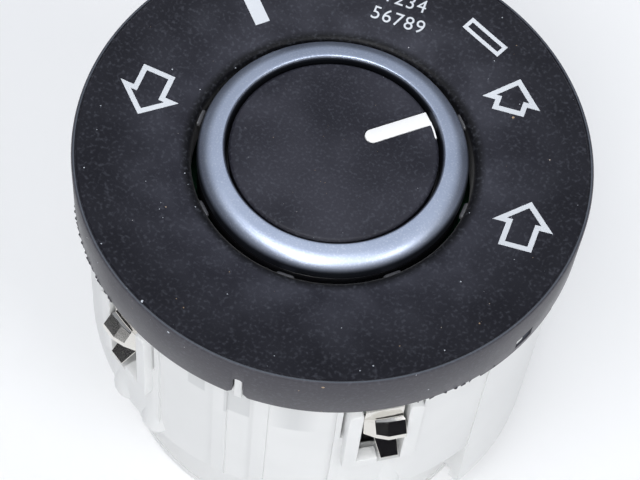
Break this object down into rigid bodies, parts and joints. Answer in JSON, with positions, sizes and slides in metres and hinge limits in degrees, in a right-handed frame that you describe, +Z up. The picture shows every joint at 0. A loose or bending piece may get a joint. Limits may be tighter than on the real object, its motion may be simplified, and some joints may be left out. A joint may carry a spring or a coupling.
{
  "type": "ride height adjustment switch",
  "caption": "Round console rotary switch with dished black dial, metallic ring knob with white pointer, and white housing held by spring clips.",
  "frame": {"origin": "on the knob's axis, in the plane the switch stands on", "axes": "+Z up along the knob's axis, +Y towards the dial's twelve o'clock mark, +X towards its three o'clock mark"},
  "size_m": [0.064, 0.064, 0.0546],
  "materials": {
    "black_paint": "soft-touch black paint with a fine grain, dark grey on the rim",
    "soft_black": "soft-touch black with a fine leather-like grain",
    "satin_metal": "satin blue-grey metallic",
    "white_lens": "milky white, lit from behind",
    "black_plastic": "moulded black",
    "white_plastic": "moulded white, slightly translucent",
    "clear_plastic": "clear moulded light guide",
    "spring_steel": "bright nickelled spring steel",
    "brass": "plain brass",
    "board_green": "green solder mask",
    "lamp_white": "white lamp body",
    "tinned_pin": "tinned contact pin"
  },
  "bodies": {
    "switch_body": {"fascia": "black_paint", "light_guide": "clear_plastic", "housing": "white_plastic", "base_cover": "white_plastic", "circuit_board": "board_green", "shaft_bush": "brass", "detent_ring": "black_plastic", "spring_clip_1": "spring_steel", "spring_clip_2": "spring_steel", "spring_clip_3": "spring_steel", "spring_clip_4": "spring_steel", "lamp_1": "lamp_white", "contact_pin_1": "tinned_pin", "lamp_2": "lamp_white", "contact_pin_2": "tinned_pin", "lamp_3": "lamp_white", "contact_pin_3": "tinned_pin", "lamp_4": "lamp_white", "contact_pin_4": "tinned_pin", "lamp_5": "lamp_white", "contact_pin_5": "tinned_pin", "lamp_6": "lamp_white", "contact_pin_6": "tinned_pin", "board_screw_1": "spring_steel", "board_screw_2": "spring_steel"},
    "knob": {"knob_ring": "satin_metal", "knob_cap": "soft_black", "pointer_lens": "white_lens", "knob_body": "black_plastic", "rotor": "black_plastic", "contact_wiper": "brass", "detent_spring": "spring_steel", "retaining_ring": "spring_steel"}
  },
  "joints": [
    {"name": "knob_turn", "type": "hinge", "parent": "switch_body", "child": "knob", "pos_m": [0, 0, 0.05], "axis": [0, 0, 1], "range_deg": [-45, 135], "deforming": ["detent_spring"]}
  ]
}
